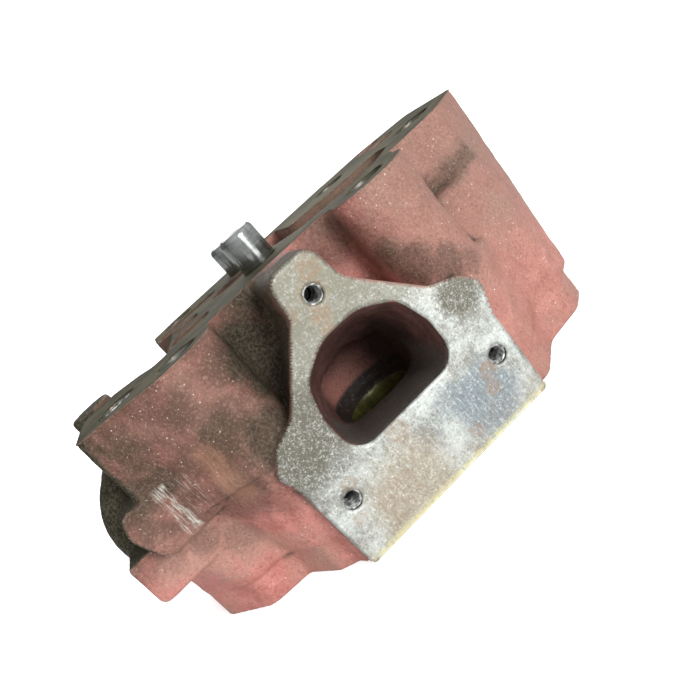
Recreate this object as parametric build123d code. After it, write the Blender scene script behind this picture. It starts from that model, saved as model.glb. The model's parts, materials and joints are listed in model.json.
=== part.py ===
"""Water-cooled cast-iron cylinder head for one cylinder of a small diesel engine.

+Z up.  The origin is the point midway between the two valve axes, on the fire deck.
The exhaust flange faces -Y, the intake flange faces +Y, lengths in millimetres.
"""
from build123d import *
from math import cos, radians, sin, tan
import os

os.makedirs("parts", exist_ok=True)

# ---------------------------------------------------------------- driving dimensions
DECK_Z = 111.0                 # machined top deck above the fire deck
WALL = 7.0                     # cast wall round the ports
BODY_TOP_OF_SKIRT = 60.0       # the lower body ends here, the deck block starts
LEDGE_Z = 15.0                 # height of the small step round the fire deck
SKIRT_END_X = 119.5            # right end of the lower body
DECK_END_X = 124.5             # right end of the deck block

VALVE_Y = 26.5                 # valve axes at (0, -VALVE_Y) and (0, +VALVE_Y)
STEM_R = 4.5                   # reamed bore of both guides
GUIDE_R = 9.0
GUIDE_PROUD = {-1: 18.0, 1: 16.0}      # exhaust (-1) and intake (+1) guide above the deck
GUIDE_FOOT_Z = 60.0            # lower end of the guides, up inside the port roof

THROAT_R = 17.0                # machined throat above each seat insert
THROAT_TOP_Z = 25.0
BOWL_R = 21.0                  # cast bowl round the valve axis
BOWL_TOP_Z = 53.0
SEAT_POCKET_Z = 4.0            # seat inserts sit this far above the fire deck
SEAT_HEIGHT = 12.0
SEAT_OUTER_R = 21.0
SEAT_INNER_R = 16.2

FLANGE_X = -3.5                # centre line of the exhaust flange
FLANGE_Y = -95.0               # machined exhaust face
FLANGE_PROUD = 5.0
FLANGE_TOP_BOLT = (-2.5, 95.2)
FLANGE_LOWER_BOLT_Z = 25.9
FLANGE_LOWER_BOLT_HALF_SPACING = 41.1
M8_TAP_R = 4.1
FLANGE_TAP_DEPTH = 22.0

INTAKE_X = 0.0
INTAKE_Y = 74.0                # machined intake face
INTAKE_CENTRE_Z = 62.0
INTAKE_BOLT_HALF_SPACING = 36.0

INJECTOR_X = -15.5
INJECTOR_Y = 0.0
INJECTOR_WELL_R = 10.5
INJECTOR_WELL_Z = 103.0        # floor of the cast well round the sleeve

STUD_R = 9.25
STUDS = {
    "front_left": (-55.0, -74.5),
    "front_right": (49.0, -69.5),
    "far_right": (103.0, -18.0),
    "rear_left": (-44.0, 51.0),
    "rear_right": (63.0, 29.0),
}
STUD_COLUMN_R = 17.0

LIFTING_POINT = (-86.0, -57.0)
LIFTING_TAP_R = 9.2
LIFTING_DEPTH = 25.0

PUSHROD_X = 98.0
PUSHROD_YS = {"exhaust": 19.0, "intake": 43.0}
PUSHROD_TUBE_R = 8.0
PUSHROD_TUBE_WALL = 1.5

NOTCH_Z = 92.0                 # lowered shelf at the left rear of the deck
POCKET_DEPTH = 8.0             # cast, painted pockets in the deck
CAP_WALL = 1.6                 # wall of the pressed cup plugs

SLEEVE_TOP_R = 9.0
SLEEVE_FOOT_R = 6.0
SLEEVE_STEP_Z = 62.0
SLEEVE_FOOT_Z = 14.0
SLEEVE_WALL = 1.5
SLEEVE_RING = 1.6
SLEEVE_RING_Z = 92.0
SLEEVE_RING_HEIGHT = 3.0
SLEEVE_WASHER = 1.5
NOZZLE_R = 3.75

TRANSFER_CIRCLE_R = 60.0
TRANSFER_R = 4.0

LEFT_PLUG_Y = 4.0
LEFT_PLUG_Z = 60.0
LEFT_PLUG_R = 14.0
LEFT_PLUG_FACE_X = -127.5
SHELF_PLUG = (-78.0, 8.0)
SHELF_PLUG_R = 13.0
REAR_PLUGS = {"rear_left": (-82.0, 40.0, 14.0), "rear_right": (72.0, 32.0, 12.0)}
REAR_PLUG_FACE_Y = {"rear_left": 57.0, "rear_right": 62.0}
PLUG_DEPTH = 8.0

DRAIN_Y = 1.0
DRAIN_Z = 30.0
DRAIN_R = 6.5
DRAIN_COLLAR_R = 9.0
DRAIN_COLLAR = 3.0
DRAIN_WASHER = 1.5
GALLERY_Y = 31.0
GALLERY_Z = 99.0
GALLERY_R = 2.5
GALLERY_PLUG_R = 4.5
GALLERY_PLUG_LENGTH = 12.0


# ---------------------------------------------------------------- small helpers
def rounded_outline(corners):
    """Closed face on (x, y, radius) corners, every corner turned with its own arc."""
    count = len(corners)
    edges = []
    last_end = None
    first_start = None
    for index in range(count):
        here = Vector(*corners[index][:2])
        before = Vector(*corners[index - 1][:2])
        after = Vector(*corners[(index + 1) % count][:2])
        radius = corners[index][2]
        to_before = (before - here).normalized()
        to_after = (after - here).normalized()
        half_turn = radians(to_before.get_angle(to_after)) / 2
        reach = radius / tan(half_turn)
        start = here + to_before * reach
        end = here + to_after * reach
        bisector = (to_before + to_after).normalized()
        middle = here + bisector * (radius / sin(half_turn) - radius)
        if last_end is not None:
            edges.append(Line(last_end, start))
        else:
            first_start = start
        edges.append(ThreePointArc(start, middle, end))
        last_end = end
    edges.append(Line(last_end, first_start))
    return make_face(edges)


def prism(corners, z_low, z_high):
    """Upright block on a rounded outline."""
    return extrude(Plane.XY.offset(z_low) * rounded_outline(corners), z_high - z_low)


def upright(x, y, radius, z_low, z_high):
    """Vertical round column or drilling."""
    height = z_high - z_low
    return Pos(x, y, z_low) * Cylinder(radius, height, align=(Align.CENTER, Align.CENTER, Align.MIN))


def along_y(x, z, radius, y_low, y_high):
    """Round column or drilling parallel to Y."""
    return Pos(x, (y_low + y_high) / 2, z) * Rot(90, 0, 0) * Cylinder(radius, y_high - y_low)


def along_x(y, z, radius, x_low, x_high):
    """Round column or drilling parallel to X."""
    return Pos((x_low + x_high) / 2, y, z) * Rot(0, 90, 0) * Cylinder(radius, x_high - x_low)


def front_plate(corners, y_front, thickness):
    """Block on an (x, z, radius) outline whose front face lies at y_front and grows towards +Y."""
    plane = Plane(origin=(0, y_front, 0), x_dir=(1, 0, 0), z_dir=(0, -1, 0))
    return extrude(plane * rounded_outline(corners), -thickness)


def ring(x, y, outer, inner, z_low, z_high):
    return upright(x, y, outer, z_low, z_high) - upright(x, y, inner, z_low - 1, z_high + 1)


# ---------------------------------------------------------------- outer shape of the casting
def lower_body():
    """Skirt round the fire deck, leaning outwards above the small step until it meets the deck block."""
    base_end = SKIRT_END_X - 6
    base = prism([
        (-57, -90, 4), (-59, -84, 4), (-68, -77, 8), (-79, -57, 6), (-100, -54, 12),
        (-122, -26, 14), (-122, 34, 14), (-104, 56, 16), (-60, 62, 10), (60, 66, 10),
        (98, 60, 16), (base_end, 40, 14), (base_end, -22, 16), (103, -50, 10), (92, -62, 10),
        (70, -67, 10), (53, -87, 8), (40, -90, 3),
    ], 0, LEDGE_Z)
    foot = Plane.XY.offset(LEDGE_Z) * rounded_outline([
        (-57, -90, 3), (-59, -85, 3), (-69, -78, 8), (-80, -59, 6), (-101, -56, 12),
        (-122, -28, 14), (-122, 34, 14), (-104, 56, 16), (-60, 62, 10), (60, 66, 10),
        (80, 60, 10), (80, -50, 5), (73, -66, 12), (56, -86, 8), (40, -90, 3),
    ])
    top = Plane.XY.offset(BODY_TOP_OF_SKIRT) * rounded_outline([
        (-55, -91, 3), (-66, -90, 5), (-76, -79, 8), (-88, -67, 8), (-116, -64, 10),
        (-123, -38, 14), (-122, 34, 14), (-104, 56, 16), (-60, 62, 10), (60, 66, 10),
        (80, 60, 10), (84, -54, 5), (76, -70, 6), (62, -86, 12), (40, -91, 3),
    ])
    return base + loft([foot, top], ruled=True)


def right_end():
    """Right end of the head: drafted outwards up to the deck, set back beside the front boss."""
    foot = Plane.XY.offset(LEDGE_Z) * rounded_outline([
        (58, -58, 4), (73, -65.5, 12), (95, -61, 10), (107, -50, 10),
        (SKIRT_END_X, -24, 14), (SKIRT_END_X, 42, 14), (98, 60, 16), (58, 66, 4),
    ])
    waist = Plane.XY.offset(BODY_TOP_OF_SKIRT) * rounded_outline([
        (58, -76, 4), (76, -70.5, 8), (97, -61.5, 10), (108, -49, 10),
        (SKIRT_END_X + 2.5, -26, 14), (SKIRT_END_X + 2.5, 42, 14), (98, 60, 16), (58, 66, 4),
    ])
    top = Plane.XY.offset(DECK_Z) * rounded_outline([
        (58, -50, 4), (73, -53.5, 8), (101, -50, 8), (110, -43, 8),
        (DECK_END_X, -28, 12), (DECK_END_X, 36, 14), (98, 60, 16), (58, 66, 4),
    ])
    return loft([foot, waist, top], ruled=True)


def deck_block():
    """Upper block whose scalloped outline is the edge of the machined deck."""
    return prism([
        (-106, -70, 3), (-88, -77, 14), (-66, -92, 9), (-44, -90, 9), (-36, -63, 8),
        (-18, -62, 3), (-16, -58, 2), (8, -58, 2), (30, -56, 6), (32, -70, 5), (68, -66, 5),
        (72, -50, 5), (72, 66, 4), (-44, 68, 12), (-106, 52, 12),
    ], BODY_TOP_OF_SKIRT - 2, DECK_Z)


def stud_columns():
    """Round bosses down the outside of the block under the deck bolt holes."""
    columns = upright(*STUDS["front_left"], STUD_COLUMN_R, 45, DECK_Z)
    columns += upright(*STUDS["front_right"], STUD_COLUMN_R + 2, 45, DECK_Z)
    columns += upright(*STUDS["rear_left"], STUD_COLUMN_R, 0, DECK_Z)
    return columns


def left_end():
    """Rounded water outlet bulge, square lug and proud pad on the left end."""
    bulge = along_y(-96, 60, 35, -45, 36)
    bulge = fillet(bulge.edges(), 9)
    lug = front_plate([(-129, 37, 4), (-129, 59.5, 1.5), (-96, 59.5, 1.5), (-96, 37, 4)], -63, 30)
    pad = front_plate([
        (-112, 53, 4), (-118, 70, 8), (-114, 79.5, 5), (-84, 78, 4), (-72, 70, 6), (-68, 54, 4),
    ], -74, 30)
    return bulge + lug + pad


def duct_ridge():
    """Ridge of the exhaust duct that carries the top flange bolt up to the deck."""
    centre = FLANGE_X + 1
    return front_plate([
        (centre - 26, 60, 3), (centre - 13, 96, 10), (centre - 12, DECK_Z - 0.8, 5),
        (centre + 12, DECK_Z - 0.8, 5), (centre + 13, 96, 10), (centre + 26, 60, 3),
    ], FLANGE_Y + 2, 40)


def flange_outline(inset):
    """Three-lobed exhaust flange, drawn on (x, z), smaller by the inset; its foot leans left."""
    half_foot = 50.8 - inset
    lobe = FLANGE_X + 0.8
    half_lobe = 12.9 - inset
    left_shoulder = FLANGE_X - 56.5 + inset
    right_shoulder = FLANGE_X + 55.3 - inset
    foot = FLANGE_X - 1.8
    return [
        (foot + half_foot, 0, 2.5),
        (foot + half_foot + 1.5, 39, 12),
        (right_shoulder, 54, 4),
        (FLANGE_X + 49 - inset, 61.5, 5),
        (FLANGE_X + 37 - inset, 66.5 - inset, 8),
        (FLANGE_X + 18, 88 - inset, 10),
        (lobe + half_lobe, 94, 8),
        (lobe + half_lobe - 2.5, DECK_Z - inset, 6.5),
        (lobe - half_lobe + 2.5, DECK_Z - inset, 6.5),
        (lobe - half_lobe, 94, 8),
        (FLANGE_X - 18, 88 - inset, 10),
        (FLANGE_X - 37 + inset, 66.5 - inset, 8),
        (FLANGE_X - 50 + inset, 61.5, 5),
        (left_shoulder, 53, 4),
        (foot - half_foot - 1.0, 44, 14),
        (foot - half_foot, 0, 2.5),
    ]


def exhaust_flange():
    """Proud machined flange on its slightly smaller neck."""
    plate = front_plate(flange_outline(0), FLANGE_Y, FLANGE_PROUD)
    neck = front_plate(flange_outline(3), FLANGE_Y + FLANGE_PROUD, 26)
    return plate + neck


def intake_flange():
    """Machined flange with two round ears, on the rear face."""
    ear = INTAKE_BOLT_HALF_SPACING
    depth = INTAKE_Y - 44
    block = Pos(INTAKE_X, INTAKE_Y - depth / 2, INTAKE_CENTRE_Z) * Box(50, depth, 54)
    block = fillet(block.edges().filter_by(Axis.Y), 14)
    for side in (-1, 1):
        block += along_y(INTAKE_X + side * ear, INTAKE_CENTRE_Z, 12, INTAKE_Y - depth, INTAKE_Y)
    return block + Pos(INTAKE_X, INTAKE_Y - depth / 2, INTAKE_CENTRE_Z) * Box(2 * ear, depth, 22)


# ---------------------------------------------------------------- ports and water jacket
def port_section(y, centre_x, half_width, floor_z, roof_z):
    """D-shaped cross section: flat floor, round lower corners, arched roof."""
    height = roof_z - floor_z
    waist = floor_z + 0.45 * height
    shoulder = floor_z + 0.80 * height
    corner = 0.36 * half_width
    plane = Plane(origin=(0, y, 0), x_dir=(1, 0, 0), z_dir=(0, -1, 0))
    outline = rounded_outline([
        (centre_x - half_width * 0.98, floor_z, corner),
        (centre_x - half_width, waist, half_width * 0.3),
        (centre_x - half_width * 0.84, shoulder, half_width * 0.40),
        (centre_x - half_width * 0.32, roof_z, half_width * 0.7),
        (centre_x + half_width * 0.32, roof_z, half_width * 0.7),
        (centre_x + half_width * 0.84, shoulder, half_width * 0.40),
        (centre_x + half_width, waist, half_width * 0.3),
        (centre_x + half_width * 0.98, floor_z, corner),
    ])
    return plane * outline


def exhaust_passage(wall):
    """Duct from the D-shaped mouth down to the bowl, thickened by the wall."""
    sections = [
        port_section(FLANGE_Y - 1, FLANGE_X, 28.4 + wall, 37.3 - wall, 80.4 + wall),
        port_section(FLANGE_Y + 34, FLANGE_X + 1, 26 + wall, 33 - wall, 70 + wall),
        port_section(-VALVE_Y, 0, BOWL_R + wall, 27 - wall, BOWL_TOP_Z + wall),
    ]
    return loft(sections, ruled=True) + bowl(-VALVE_Y, wall)


def intake_passage(wall):
    """Straight duct from the rear face to the intake bowl, thickened by the wall."""
    sections = [
        port_section(INTAKE_Y + 1, INTAKE_X, 20 + wall, 46 - wall, 78 + wall),
        port_section(INTAKE_Y - 22, INTAKE_X, 21 + wall, 38 - wall, 68 + wall),
        port_section(VALVE_Y, 0, BOWL_R + wall, 27 - wall, BOWL_TOP_Z + wall),
    ]
    return loft(sections, ruled=True) + bowl(VALVE_Y, wall)


def bowl(valve_y, wall):
    """Round bowl above the throat on a valve axis."""
    body = upright(0, valve_y, BOWL_R + wall, THROAT_TOP_Z + 3 - wall, BOWL_TOP_Z + wall)
    return fillet(body.edges().sort_by(Axis.Z)[-1], 8)


def water_jacket():
    """Hollow between outer wall, ports, stud columns, injector and push-rod columns."""
    lower = prism([
        (-48, -66, 6), (-66, -56, 6), (-92, -46, 8), (-112, -22, 8), (-112, 26, 8),
        (-96, 46, 8), (-54, 54, 8), (56, 57, 8), (92, 51, 8), (109, 34, 8), (109, -22, 8),
        (94, -51, 8), (66, -57, 8), (46, -66, 6),
    ], 13, 53)
    upper = prism([
        (-18, -52, 5), (-66, -57, 6), (-96, -57, 6), (-96, 44, 8), (-54, 54, 8),
        (56, 57, 8), (92, 50, 8), (110, 32, 8), (110, -24, 8), (98, -41, 8), (70, -44, 6),
        (24, -47, 5),
    ], 52, 84)
    hollow = lower + upper
    solids = [exhaust_passage(WALL), intake_passage(WALL)]
    solids.append(upright(*LIFTING_POINT, LIFTING_TAP_R + 5, 70, DECK_Z))
    for x, y in STUDS.values():
        solids.append(upright(x, y, STUD_R + 5, 0, DECK_Z))
    for y in PUSHROD_YS.values():
        solids.append(upright(PUSHROD_X, y, PUSHROD_TUBE_R + 5.5, 0, DECK_Z))
    for side in (-1, 1):
        solids.append(upright(0, side * VALVE_Y, GUIDE_R + 6, 40, DECK_Z))
        solids.append(upright(0, side * VALVE_Y, SEAT_OUTER_R + 5, 0, THROAT_TOP_Z + 6))
    solids.append(upright(INJECTOR_X, INJECTOR_Y, 13, 60, DECK_Z))
    solids.append(upright(INJECTOR_X, INJECTOR_Y, 10, 0, 62))
    solids += flange_bolt_bosses()
    for solid in solids:
        hollow -= solid
    return hollow


def flange_bolt_points():
    """Three tapped holes of the exhaust flange, the single one at the top."""
    points = [FLANGE_TOP_BOLT]
    for side in (-1, 1):
        points.append((FLANGE_X + side * FLANGE_LOWER_BOLT_HALF_SPACING, FLANGE_LOWER_BOLT_Z))
    return points


def flange_bolt_bosses():
    """Solid metal kept round the blind threads of both port flanges."""
    bosses = []
    for x, z in flange_bolt_points():
        bosses.append(along_y(x, z, 10, FLANGE_Y, FLANGE_Y + FLANGE_TAP_DEPTH + 8))
    for side in (-1, 1):
        x = INTAKE_X + side * INTAKE_BOLT_HALF_SPACING
        bosses.append(along_y(x, INTAKE_CENTRE_Z, 10, INTAKE_Y - 30, INTAKE_Y))
    return bosses


# ---------------------------------------------------------------- machining
def deck_pockets():
    """Cast pockets below the machined deck, and the shelf at the left rear."""
    floor = DECK_Z - POCKET_DEPTH
    trench = prism([
        (13, -12, 4), (24, -38, 8), (44, -48, 8), (66, -44, 10), (81, -28, 8), (81, -8, 8),
        (52, -3, 20), (28, 10, 12), (29, 54, 5), (13, 54, 5),
    ], floor, DECK_Z + 1)
    rear_left = prism([(-57, 22, 4), (-20, 24, 5), (-20, 36, 5), (-57, 40, 4)], floor, DECK_Z + 1)
    middle_left = prism([(-50, -10, 3), (-36, -10, 4), (-36, 6, 4), (-50, 6, 3)], floor, DECK_Z + 1)
    front_left = prism([(-56, -42, 4), (-33, -40, 5), (-33, -26, 5), (-52, -24, 4)], floor, DECK_Z + 1)
    shelf = prism([
        (-150, -26, 2), (-88, -18, 4), (-73, -33, 6), (-66, -45, 5), (-58, -46, 3), (-51, 14, 4),
        (-60, 28, 3), (-60, 90, 2), (-150, 90, 2),
    ], NOTCH_Z, DECK_Z + 1)
    well = upright(INJECTOR_X, INJECTOR_Y, INJECTOR_WELL_R, INJECTOR_WELL_Z, DECK_Z + 1)
    return [trench, rear_left, middle_left, front_left, shelf, well]


def cover_lug():
    """Round cast boss on the shelf that reaches deck level."""
    return upright(-104, 12, 11, NOTCH_Z - 12, DECK_Z + 0.6)


def side_slot():
    """Cast slot high on the right of the front wall, shallower towards its right end."""
    return front_plate([(60, 83.5, 3), (104, 84.0, 3), (104, 92.0, 3), (60, 93.5, 3)], -80, 23)


def deck_holes():
    """Stud holes and push-rod bores right through, and the blind thread for the lifting eye."""
    holes = [upright(x, y, STUD_R, -1, DECK_Z + 1) for x, y in STUDS.values()]
    holes += [upright(PUSHROD_X, y, PUSHROD_TUBE_R, -1, DECK_Z + 1) for y in PUSHROD_YS.values()]
    holes.append(upright(*LIFTING_POINT, LIFTING_TAP_R, DECK_Z - LIFTING_DEPTH, DECK_Z + 1))
    return holes


def valve_bores(side):
    """Guide bore, throat, bowl mouth and seat pocket on one valve axis."""
    y = side * VALVE_Y
    seat_top = SEAT_POCKET_Z + SEAT_HEIGHT
    cone_height = 4.0
    cone = Pos(0, y, THROAT_TOP_Z + cone_height / 2) * Cone(THROAT_R, BOWL_R, cone_height)
    return [
        upright(0, y, GUIDE_R, THROAT_TOP_Z + cone_height, DECK_Z + 1),
        upright(0, y, THROAT_R, seat_top - 1, THROAT_TOP_Z),
        cone,
        upright(0, y, SEAT_OUTER_R, -1, seat_top),
    ]


def injector_bores():
    """Stepped bore that holds the injector sleeve and its two rings."""
    x, y = INJECTOR_X, INJECTOR_Y
    return [
        upright(x, y, SLEEVE_TOP_R, SLEEVE_STEP_Z, INJECTOR_WELL_Z + 1),
        upright(x, y, SLEEVE_FOOT_R, SLEEVE_FOOT_Z, SLEEVE_STEP_Z),
        upright(x, y, NOZZLE_R, -1, SLEEVE_FOOT_Z),
        upright(x, y, SLEEVE_TOP_R + SLEEVE_RING, SLEEVE_RING_Z, SLEEVE_RING_Z + SLEEVE_RING_HEIGHT),
    ]


def flange_threads():
    """Blind tapped holes of the exhaust and intake flanges."""
    holes = []
    for x, z in flange_bolt_points():
        holes.append(along_y(x, z, M8_TAP_R, FLANGE_Y - 1, FLANGE_Y + FLANGE_TAP_DEPTH))
    for side in (-1, 1):
        x = INTAKE_X + side * INTAKE_BOLT_HALF_SPACING
        holes.append(along_y(x, INTAKE_CENTRE_Z, M8_TAP_R, INTAKE_Y - FLANGE_TAP_DEPTH, INTAKE_Y + 1))
    return holes


def transfer_holes():
    """Coolant holes through the fire deck, on a circle round the cylinder."""
    holes = []
    for turn in (20, 75, 105, 160, 200, 340):
        x = TRANSFER_CIRCLE_R * cos(radians(turn))
        y = TRANSFER_CIRCLE_R * sin(radians(turn))
        holes.append(upright(x, y, TRANSFER_R, -1, 16))
    return holes


def plug_bores():
    """Core-plug bores with their spot faces, and the tapped plug holes."""
    cuts = [
        along_x(LEFT_PLUG_Y, LEFT_PLUG_Z, LEFT_PLUG_R, -140, -94),
        along_x(LEFT_PLUG_Y, LEFT_PLUG_Z, LEFT_PLUG_R + 3, -140, LEFT_PLUG_FACE_X),
        upright(*SHELF_PLUG, SHELF_PLUG_R, 76, NOTCH_Z + 1),
        along_x(DRAIN_Y, DRAIN_Z, DRAIN_R, 104, 125),
        along_x(DRAIN_Y, DRAIN_Z, DRAIN_COLLAR_R + 1.5, SKIRT_END_X, 130),
        along_x(GALLERY_Y, GALLERY_Z, GALLERY_R, STUDS["rear_right"][0], 125),
        along_x(GALLERY_Y, GALLERY_Z, GALLERY_PLUG_R, DECK_END_X - GALLERY_PLUG_LENGTH, 125),
    ]
    for x, z, radius in REAR_PLUGS.values():
        cuts.append(along_y(x, z, radius, 44, 80))
    return cuts


# ---------------------------------------------------------------- subcomponents
def head_casting():
    """The iron casting with every port, jacket, bore and thread."""
    body = lower_body() + deck_block() + right_end() + stud_columns() + left_end()
    for cut in deck_pockets():
        body -= cut
    body += cover_lug()
    body += duct_ridge() + exhaust_flange() + intake_flange()
    body -= side_slot()
    body -= water_jacket()
    body -= exhaust_passage(0) + intake_passage(0)
    cuts = deck_holes() + valve_bores(-1) + valve_bores(1) + injector_bores()
    cuts += flange_threads() + transfer_holes() + plug_bores()
    for cut in cuts:
        body -= cut
    return body


def valve_guide(side):
    """Pressed iron guide with a chamfered top and a reamed stem bore."""
    y = side * VALVE_Y
    top = DECK_Z + GUIDE_PROUD[side]
    tube = upright(0, y, GUIDE_R, GUIDE_FOOT_Z, top)
    tube = chamfer(tube.edges().sort_by(Axis.Z)[-1], 1.8)
    tube = chamfer(tube.edges().sort_by(Axis.Z)[0], 1.5)
    return tube - upright(0, y, STEM_R, GUIDE_FOOT_Z - 1, top + 1)


def valve_seat(side):
    """Shrunk-in seat insert with its 45 degree face towards the cylinder."""
    y = side * VALVE_Y
    insert = ring(0, y, SEAT_OUTER_R, SEAT_INNER_R, SEAT_POCKET_Z, SEAT_POCKET_Z + SEAT_HEIGHT)
    face = 3.2
    cone = Pos(0, y, SEAT_POCKET_Z + face / 2) * Cone(SEAT_INNER_R + face, SEAT_INNER_R, face)
    return insert - cone


def injector_sleeve():
    """Stepped copper tube through the water jacket."""
    x, y = INJECTOR_X, INJECTOR_Y
    foot = SLEEVE_FOOT_Z + SLEEVE_WASHER
    outside = upright(x, y, SLEEVE_TOP_R, SLEEVE_STEP_Z, INJECTOR_WELL_Z)
    outside += upright(x, y, SLEEVE_FOOT_R, foot, SLEEVE_STEP_Z)
    inside = upright(x, y, SLEEVE_TOP_R - SLEEVE_WALL, SLEEVE_STEP_Z + SLEEVE_WALL, INJECTOR_WELL_Z + 1)
    inside += upright(x, y, SLEEVE_FOOT_R - SLEEVE_WALL, foot - 1, SLEEVE_STEP_Z + SLEEVE_WALL)
    return outside - inside


def injector_upper_ring():
    """Rubber ring in the groove round the top of the sleeve."""
    return ring(
        INJECTOR_X, INJECTOR_Y, SLEEVE_TOP_R + SLEEVE_RING, SLEEVE_TOP_R,
        SLEEVE_RING_Z, SLEEVE_RING_Z + SLEEVE_RING_HEIGHT,
    )


def injector_lower_ring():
    """Soft washer under the foot of the sleeve."""
    return ring(
        INJECTOR_X, INJECTOR_Y, SLEEVE_FOOT_R, NOZZLE_R,
        SLEEVE_FOOT_Z, SLEEVE_FOOT_Z + SLEEVE_WASHER,
    )


def pushrod_tube(y):
    """Thin steel tube that keeps the coolant away from one push rod."""
    return ring(PUSHROD_X, y, PUSHROD_TUBE_R, PUSHROD_TUBE_R - PUSHROD_TUBE_WALL, 1, DECK_Z - 1)


def cup_plug(radius):
    """Pressed steel cup, mouth up, standing on the XY plane."""
    cup = upright(0, 0, radius, 0, PLUG_DEPTH)
    cup = fillet(cup.edges().sort_by(Axis.Z)[0], 1.6)
    return cup - upright(0, 0, radius - CAP_WALL, CAP_WALL, PLUG_DEPTH + 1)


def core_plugs():
    """Every cup plug in place, its mouth outwards."""
    plugs = {
        "left_core_plug": Pos(LEFT_PLUG_FACE_X + PLUG_DEPTH + 1, LEFT_PLUG_Y, LEFT_PLUG_Z)
        * Rot(0, -90, 0) * cup_plug(LEFT_PLUG_R),
        "shelf_core_plug": Pos(*SHELF_PLUG, NOTCH_Z - PLUG_DEPTH - 1) * cup_plug(SHELF_PLUG_R),
    }
    for name, (x, z, radius) in REAR_PLUGS.items():
        base = Pos(x, REAR_PLUG_FACE_Y[name] - PLUG_DEPTH - 1, z)
        plugs[name + "_core_plug"] = base * Rot(-90, 0, 0) * cup_plug(radius)
    return plugs


def socket_plug(face_x, y, z, radius, length, across_flats):
    """Threaded plug along X with a hexagon socket, its outer end at face_x."""
    body = along_x(y, z, radius, face_x - length, face_x)
    plane = Plane(origin=(face_x, y, z), x_dir=(0, 1, 0), z_dir=(1, 0, 0))
    socket = extrude(plane * RegularPolygon(across_flats / 2, 6, major_radius=False), -length * 0.5)
    return body - socket


def drain_plug():
    """Socket plug with a collar that clamps its washer on the spot face."""
    collar_x = SKIRT_END_X + DRAIN_WASHER
    face_x = collar_x + DRAIN_COLLAR
    plug = socket_plug(face_x, DRAIN_Y, DRAIN_Z, DRAIN_R, 14, 8)
    collar = along_x(DRAIN_Y, DRAIN_Z, DRAIN_COLLAR_R, collar_x, face_x)
    collar = chamfer(collar.edges().sort_by(Axis.X)[-1], 0.8)
    return plug + (collar - along_x(DRAIN_Y, DRAIN_Z, DRAIN_R - 0.5, collar_x - 1, face_x + 1))


def drain_washer():
    """Flat copper sealing ring under the collar of the drain plug."""
    ends = (SKIRT_END_X, SKIRT_END_X + DRAIN_WASHER)
    return along_x(DRAIN_Y, DRAIN_Z, DRAIN_COLLAR_R, *ends) - along_x(DRAIN_Y, DRAIN_Z, DRAIN_R + 0.2, *ends)


def main():
    parts = {
        "head_casting": head_casting(),
        "exhaust_valve_guide": valve_guide(-1),
        "intake_valve_guide": valve_guide(1),
        "exhaust_valve_seat": valve_seat(-1),
        "intake_valve_seat": valve_seat(1),
        "injector_sleeve": injector_sleeve(),
        "injector_upper_ring": injector_upper_ring(),
        "injector_lower_ring": injector_lower_ring(),
        "coolant_drain_plug": drain_plug(),
        "coolant_drain_washer": drain_washer(),
        "oil_gallery_plug": socket_plug(
            DECK_END_X, GALLERY_Y, GALLERY_Z, GALLERY_PLUG_R, GALLERY_PLUG_LENGTH, 5),
    }
    for valve, y in PUSHROD_YS.items():
        parts[valve + "_pushrod_tube"] = pushrod_tube(y)
    parts.update(core_plugs())
    for name, shape in parts.items():
        shape.label = name
        export_step(shape, "parts/" + name + ".step")
        box = shape.bounding_box()
        print(name, len(shape.solids()), round(shape.volume), box.min, box.max)


main()
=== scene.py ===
"""Looks of the cast-iron cylinder head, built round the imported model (metres, +Z up)."""
import json
import math

import bmesh
import bpy
import numpy as np
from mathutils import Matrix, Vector


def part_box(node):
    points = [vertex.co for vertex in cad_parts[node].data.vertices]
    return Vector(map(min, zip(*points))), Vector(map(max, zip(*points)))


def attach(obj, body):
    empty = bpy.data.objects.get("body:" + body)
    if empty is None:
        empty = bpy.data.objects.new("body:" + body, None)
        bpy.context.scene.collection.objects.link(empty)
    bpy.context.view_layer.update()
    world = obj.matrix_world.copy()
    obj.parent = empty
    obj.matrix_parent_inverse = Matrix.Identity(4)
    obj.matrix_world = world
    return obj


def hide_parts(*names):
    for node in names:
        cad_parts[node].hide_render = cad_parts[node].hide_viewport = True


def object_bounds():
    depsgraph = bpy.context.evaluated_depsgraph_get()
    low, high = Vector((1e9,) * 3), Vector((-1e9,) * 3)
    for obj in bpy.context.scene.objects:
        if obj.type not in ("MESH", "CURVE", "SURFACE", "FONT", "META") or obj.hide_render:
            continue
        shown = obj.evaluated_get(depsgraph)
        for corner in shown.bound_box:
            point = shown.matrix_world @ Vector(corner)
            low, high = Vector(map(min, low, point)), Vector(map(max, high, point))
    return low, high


MM = 0.001

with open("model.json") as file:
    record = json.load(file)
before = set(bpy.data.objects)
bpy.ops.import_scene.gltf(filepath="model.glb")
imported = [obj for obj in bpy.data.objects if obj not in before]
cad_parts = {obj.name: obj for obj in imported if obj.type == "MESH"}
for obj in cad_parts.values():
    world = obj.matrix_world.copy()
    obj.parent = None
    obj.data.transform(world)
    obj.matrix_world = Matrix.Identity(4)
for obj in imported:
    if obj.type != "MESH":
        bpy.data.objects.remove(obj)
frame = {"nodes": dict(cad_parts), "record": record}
cad_low, cad_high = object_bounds()
mounts = {m["name"]: m for m in frame["record"]["mounts"]}


def place(name):
    return Vector(mounts[name]["pos_m"])


def radius(name):
    return mounts[name]["dims"]["r_mm"] * MM


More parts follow.
